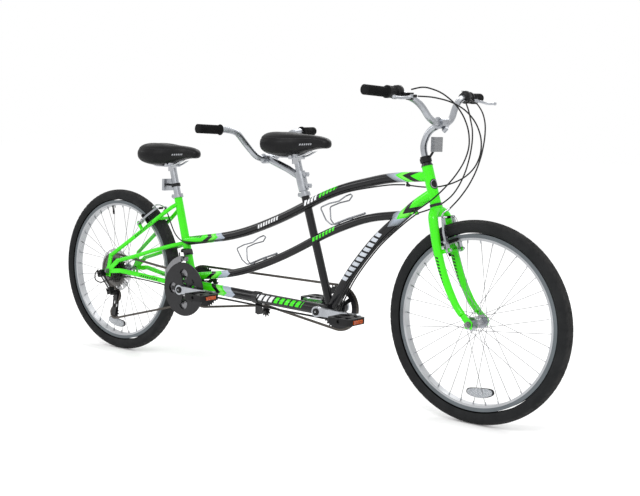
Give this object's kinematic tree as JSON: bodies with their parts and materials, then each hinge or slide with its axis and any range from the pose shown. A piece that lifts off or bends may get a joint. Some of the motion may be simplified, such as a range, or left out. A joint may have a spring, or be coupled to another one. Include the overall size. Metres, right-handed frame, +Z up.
{
  "type": "tandem bicycle",
  "caption": "Two-seat tandem bicycle with curved tubes, black and green frame, timing and drive chains, derailleurs, rim brakes and a steerable fork.",
  "frame": {"origin": "on the ground, midway between the two axles, in the centre plane", "axes": "+X forward, +Y to the riders' left, +Z up"},
  "size_m": [2.3357, 0.7036, 1.0723],
  "materials": {
    "green_paint": "gloss",
    "black_paint": "gloss",
    "silver": "satin",
    "rim": "satin",
    "steel": "satin",
    "chrome": "polished",
    "tyre": "matte",
    "rubber": "matte",
    "black_plastic": "matte",
    "black_steel": "satin",
    "vinyl": "satin"
  },
  "bodies": {
    "frame": {"head_tube": "green_paint", "main_tubes": "black_paint", "rear_triangle": "green_paint", "bearing_cups": "black_steel", "bottle_cages": "silver", "seatposts": "silver", "saddle_covers": "vinyl", "saddle_rails": "chrome", "stoker_stem": "silver", "stoker_handlebar": "silver", "stoker_grips": "rubber", "clamp_brackets": "black_steel", "control_cables": "rubber", "drive_chain": "black_steel", "timing_chain": "black_steel", "rear_axle": "steel", "rd_knuckle": "black_plastic"},
    "steering": {"fork": "green_paint", "stem": "silver", "handlebar": "silver", "handlebar_grips": "rubber", "front_reflector": "black_steel", "lever_brackets": "black_plastic", "front_axle": "steel", "front_brake_cable": "rubber"},
    "front_wheel": {"front_tyre": "tyre", "front_rim": "rim", "front_spokes": "steel", "front_hub": "silver"},
    "rear_wheel": {"rear_tyre": "tyre", "rear_rim": "rim", "rear_spokes": "steel", "rear_hub": "silver"},
    "freewheel": {"freewheel": "steel"},
    "rear_cranks": {"rear_crank": "silver", "chainrings": "black_steel"},
    "front_cranks": {"front_crank": "silver", "front_timing_ring": "black_steel"},
    "idler": {"idler_wheel": "black_plastic"},
    "front_right_pedal": {"front_right_pedal": "black_plastic"},
    "front_left_pedal": {"front_left_pedal": "black_plastic"},
    "rear_right_pedal": {"rear_right_pedal": "black_plastic"},
    "rear_left_pedal": {"rear_left_pedal": "black_plastic"},
    "right_brake_lever": {"right_brake_lever": "silver"},
    "right_shifter": {"right_shifter": "rubber"},
    "left_brake_lever": {"left_brake_lever": "silver"},
    "left_shifter": {"left_shifter": "rubber"},
    "front_brake_arm_right": {"front_brake_arm_right": "silver"},
    "front_brake_arm_left": {"front_brake_arm_left": "silver"},
    "rear_brake_arm_right": {"rear_brake_arm_right": "silver"},
    "rear_brake_arm_left": {"rear_brake_arm_left": "silver"},
    "rd_outer_link": {"rd_outer_link": "black_steel"},
    "rd_inner_link": {"rd_inner_link": "black_steel"},
    "rd_carrier": {"rd_p_knuckle": "black_plastic"},
    "rd_cage": {"rd_cage": "black_steel"},
    "guide_pulley": {"guide_pulley": "black_plastic"},
    "tension_pulley": {"tension_pulley": "black_plastic"},
    "fd_link": {"fd_link": "black_steel"},
    "fd_cage": {"fd_cage": "black_steel"}
  },
  "joints": [
    {"name": "steering", "type": "hinge", "parent": "frame", "child": "steering", "pos_m": [0.64913, 0, 0.75277], "axis": [-0.3007, 0, 0.9537], "range_deg": [-60, 60], "deforming": ["control_cables"]},
    {"name": "front_wheel_spin", "type": "hinge", "parent": "steering", "child": "front_wheel", "pos_m": [0.838, 0, 0.33], "axis": [0, 1, 0], "continuous": true},
    {"name": "rear_wheel_spin", "type": "hinge", "parent": "frame", "child": "rear_wheel", "pos_m": [-0.838, 0, 0.33], "axis": [0, 1, 0], "continuous": true},
    {"name": "rear_crank_spin", "type": "hinge", "parent": "frame", "child": "rear_cranks", "pos_m": [-0.42, 0, 0.3], "axis": [0, 1, 0], "continuous": true, "deforming": ["drive_chain", "timing_chain"]},
    {"name": "front_crank_spin", "type": "hinge", "parent": "frame", "child": "front_cranks", "pos_m": [0.25, 0, 0.3], "axis": [0, 1, 0], "continuous": true},
    {"name": "freewheel_spin", "type": "hinge", "parent": "frame", "child": "freewheel", "pos_m": [-0.838, 0, 0.33], "axis": [0, 1, 0], "continuous": true},
    {"name": "idler_spin", "type": "hinge", "parent": "frame", "child": "idler", "pos_m": [-0.094, 0.05, 0.24429], "axis": [0, 1, 0], "continuous": true},
    {"name": "front_right_pedal_spin", "type": "hinge", "parent": "front_cranks", "child": "front_right_pedal", "pos_m": [0.42, -0.11, 0.3], "axis": [0, 1, 0], "continuous": true},
    {"name": "front_left_pedal_spin", "type": "hinge", "parent": "front_cranks", "child": "front_left_pedal", "pos_m": [0.08, 0.11, 0.3], "axis": [0, 1, 0], "continuous": true},
    {"name": "rear_right_pedal_spin", "type": "hinge", "parent": "rear_cranks", "child": "rear_right_pedal", "pos_m": [-0.25, -0.11, 0.3], "axis": [0, 1, 0], "continuous": true},
    {"name": "rear_left_pedal_spin", "type": "hinge", "parent": "rear_cranks", "child": "rear_left_pedal", "pos_m": [-0.59, 0.11, 0.3], "axis": [0, 1, 0], "continuous": true},
    {"name": "right_brake_lever", "type": "hinge", "parent": "steering", "child": "right_brake_lever", "pos_m": [0.68393, -0.19681, 1.04044], "axis": [0, 0, 1], "range_deg": [0, 12], "stiffness_Nm_per_rad": 2, "springref_deg": -5.73},
    {"name": "right_shifter", "type": "hinge", "parent": "steering", "child": "right_shifter", "pos_m": [0.63414, -0.21847, 1.05126], "axis": [-0.1723, -0.9844, 0.0369], "range_deg": [-100, 0]},
    {"name": "left_brake_lever", "type": "hinge", "parent": "steering", "child": "left_brake_lever", "pos_m": [0.68393, 0.19681, 1.04044], "axis": [0, 0, -1], "range_deg": [0, 12], "stiffness_Nm_per_rad": 2, "springref_deg": -5.73},
    {"name": "left_shifter", "type": "hinge", "parent": "steering", "child": "left_shifter", "pos_m": [0.63414, 0.21847, 1.05126], "axis": [-0.1723, 0.9844, 0.0369], "range_deg": [0, 100]},
    {"name": "front_brake_arm_right", "type": "hinge", "parent": "steering", "child": "front_brake_arm_right", "pos_m": [0.744, -0.04, 0.557], "axis": [-0.9606, 0, -0.2779], "range_deg": [0, 2.4]},
    {"name": "front_brake_arm_left", "type": "hinge", "parent": "steering", "child": "front_brake_arm_left", "pos_m": [0.744, 0.04, 0.557], "axis": [0.9606, 0, 0.2779], "range_deg": [0, 2.4]},
    {"name": "rear_brake_arm_right", "type": "hinge", "parent": "frame", "child": "rear_brake_arm_right", "pos_m": [-0.694, -0.04, 0.531], "axis": [-0.613, 0, 0.7901], "range_deg": [0, 2.4]},
    {"name": "rear_brake_arm_left", "type": "hinge", "parent": "frame", "child": "rear_brake_arm_left", "pos_m": [-0.694, 0.04, 0.531], "axis": [0.613, 0, -0.7901], "range_deg": [0, 2.4]},
    {"name": "rd_outer_link", "type": "hinge", "parent": "frame", "child": "rd_outer_link", "pos_m": [-0.858, -0.098, 0.312], "axis": [0.9139, 0, 0.406], "range_deg": [-25, 0], "deforming": ["drive_chain"]},
    {"name": "rd_inner_link", "type": "hinge", "parent": "frame", "child": "rd_inner_link", "pos_m": [-0.858, -0.084, 0.312], "axis": [0.9139, 0, 0.406], "range_deg": [-25, 0]},
    {"name": "rd_carrier", "type": "hinge", "parent": "rd_outer_link", "child": "rd_carrier", "pos_m": [-0.83283, -0.076, 0.25534], "axis": [0.9139, 0, 0.406], "range_deg": [0, 25]},
    {"name": "rd_cage_swing", "type": "hinge", "parent": "rd_carrier", "child": "rd_cage", "pos_m": [-0.82, -0.04, 0.24], "axis": [0, 1, 0], "range_deg": [-35, 8], "stiffness_Nm_per_rad": 0.5},
    {"name": "guide_pulley_spin", "type": "hinge", "parent": "rd_cage", "child": "guide_pulley", "pos_m": [-0.826, -0.04, 0.228], "axis": [0, 1, 0], "continuous": true},
    {"name": "tension_pulley_spin", "type": "hinge", "parent": "rd_cage", "child": "tension_pulley", "pos_m": [-0.83538, -0.04, 0.15359], "axis": [0, 1, 0], "continuous": true},
    {"name": "fd_link", "type": "hinge", "parent": "frame", "child": "fd_link", "pos_m": [-0.437, -0.044, 0.446], "axis": [1, 0, 0], "range_deg": [-30, 0], "deforming": ["drive_chain"]},
    {"name": "fd_cage", "type": "hinge", "parent": "fd_link", "child": "fd_cage", "pos_m": [-0.437, -0.038, 0.42], "axis": [1, 0, 0], "range_deg": [0, 30]}
  ],
  "couplings": [
    {"joint": "front_crank_spin", "follows": "rear_crank_spin", "ratio": 1},
    {"joint": "freewheel_spin", "follows": "rear_crank_spin", "ratio": 0.82353},
    {"joint": "idler_spin", "follows": "rear_crank_spin", "ratio": -4},
    {"joint": "front_brake_arm_right", "follows": "left_brake_lever", "ratio": 0.2},
    {"joint": "front_brake_arm_left", "follows": "left_brake_lever", "ratio": 0.2},
    {"joint": "rear_brake_arm_right", "follows": "right_brake_lever", "ratio": 0.2},
    {"joint": "rear_brake_arm_left", "follows": "right_brake_lever", "ratio": 0.2},
    {"joint": "rd_outer_link", "follows": "right_shifter", "ratio": 0.25},
    {"joint": "rd_inner_link", "follows": "right_shifter", "ratio": 0.25},
    {"joint": "rd_carrier", "follows": "right_shifter", "ratio": -0.25},
    {"joint": "guide_pulley_spin", "follows": "rear_crank_spin", "ratio": -2.5455},
    {"joint": "tension_pulley_spin", "follows": "rear_crank_spin", "ratio": 2.5455},
    {"joint": "fd_link", "follows": "left_shifter", "ratio": -0.3},
    {"joint": "fd_cage", "follows": "left_shifter", "ratio": 0.3}
  ]
}
